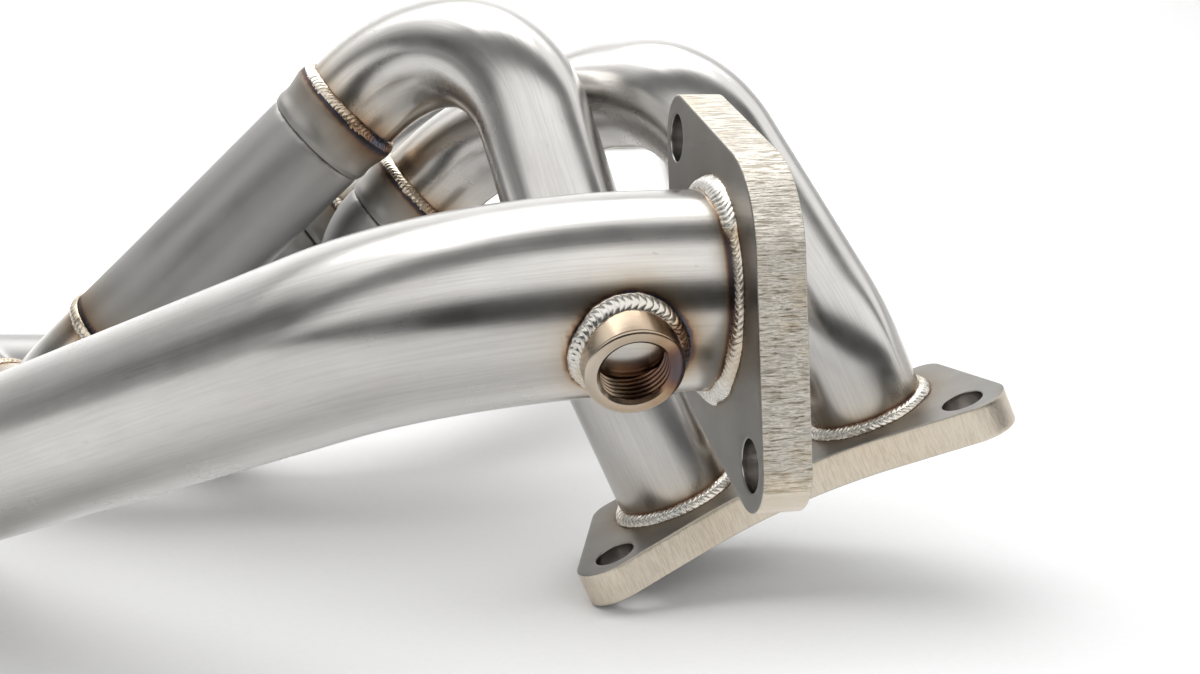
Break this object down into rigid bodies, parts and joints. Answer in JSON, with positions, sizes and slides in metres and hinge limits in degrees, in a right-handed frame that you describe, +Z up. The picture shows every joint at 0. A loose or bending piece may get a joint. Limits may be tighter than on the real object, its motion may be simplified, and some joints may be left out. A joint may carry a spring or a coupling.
{
  "type": "exhaust manifold",
  "caption": "Welded tubular exhaust manifold for a flat engine: waisted head flanges, long bent primary tubes, formed collectors, and a large outlet tube with a sensor bung and a bolted flange.",
  "frame": {"origin": "middle of the part's footprint, on the surface that it rests on", "axes": "+X points out of the outlet flange along the outlet; +Y runs from the near bank's head flange to the far bank's; +Z is up, with the head flanges' mating faces down"},
  "size_m": [0.6164, 0.5492, 0.2039],
  "materials": {
    "tube_steel": "satin drawn tube, with heat tint near the welds",
    "formed_steel": "dull formed sheet",
    "plate_steel": "satin faces and water-jet striated edges",
    "weld_metal": "rippled beads, straw to blue tint",
    "bung_steel": "turned, bronzed by heat"
  },
  "bodies": {
    "root": {"head_flange_near": "plate_steel", "head_flange_far": "plate_steel", "primary_tube_near_front": "tube_steel", "head_weld_near_front": "weld_metal", "collar_near_front": "formed_steel", "collar_weld_near_front": "weld_metal", "primary_tube_near_rear": "tube_steel", "head_weld_near_rear": "weld_metal", "collar_near_rear": "formed_steel", "collar_weld_near_rear": "weld_metal", "primary_tube_far_front": "tube_steel", "head_weld_far_front": "weld_metal", "collar_far_front": "formed_steel", "collar_weld_far_front": "weld_metal", "primary_tube_far_rear": "tube_steel", "head_weld_far_rear": "weld_metal", "collar_far_rear": "formed_steel", "collar_weld_far_rear": "weld_metal", "collector_front": "formed_steel", "collector_weld_front": "weld_metal", "secondary_tube_front": "tube_steel", "secondary_weld_front": "weld_metal", "collector_rear": "formed_steel", "collector_weld_rear": "weld_metal", "secondary_tube_rear": "tube_steel", "secondary_weld_rear": "weld_metal", "final_collector": "formed_steel", "final_weld": "weld_metal", "return_bend": "tube_steel", "return_weld": "weld_metal", "outlet_tube": "tube_steel", "outlet_flange": "plate_steel", "outlet_weld": "weld_metal", "sensor_bung": "bung_steel", "bung_weld": "weld_metal"}
  },
  "joints": []
}
